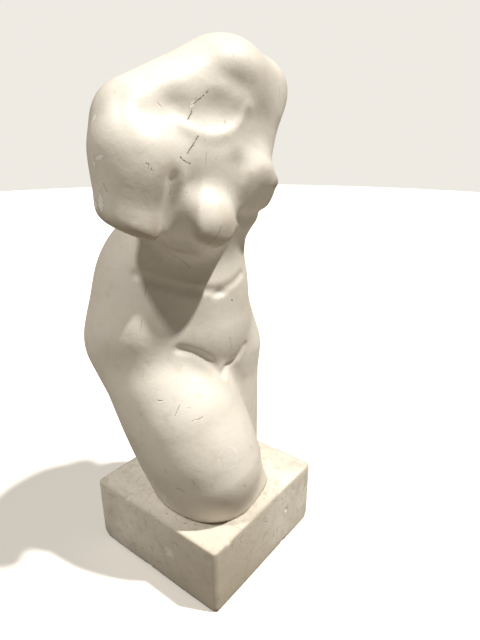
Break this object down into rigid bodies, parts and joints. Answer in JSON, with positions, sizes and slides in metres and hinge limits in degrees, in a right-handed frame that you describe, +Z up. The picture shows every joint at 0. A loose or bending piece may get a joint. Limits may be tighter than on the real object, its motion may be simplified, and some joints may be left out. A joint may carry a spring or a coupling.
{
  "type": "torso study cast",
  "caption": "Plaster study cast of a classical headless, armless standing figure, cut above the knees, bolted to a square plinth by steel rods in the thighs.",
  "frame": {"origin": "centre of the plinth's resting face", "axes": "+Z up, -Y the way the figure faces, +X the figure's left; the plinth's sides lie along X and Y"},
  "size_m": [0.2008, 0.1703, 0.477],
  "materials": {
    "figure_plaster": "cast plaster, rubbed smooth, faint sheen",
    "plinth_plaster": "cast plaster, matt, handled grey",
    "zinc_steel": "zinc plated"
  },
  "bodies": {
    "root": {"torso": "figure_plaster", "plinth": "plinth_plaster", "thigh_rod_right": "zinc_steel", "thigh_rod_left": "zinc_steel", "washer_right": "zinc_steel", "washer_left": "zinc_steel", "nut_right": "zinc_steel", "nut_left": "zinc_steel"}
  },
  "joints": []
}
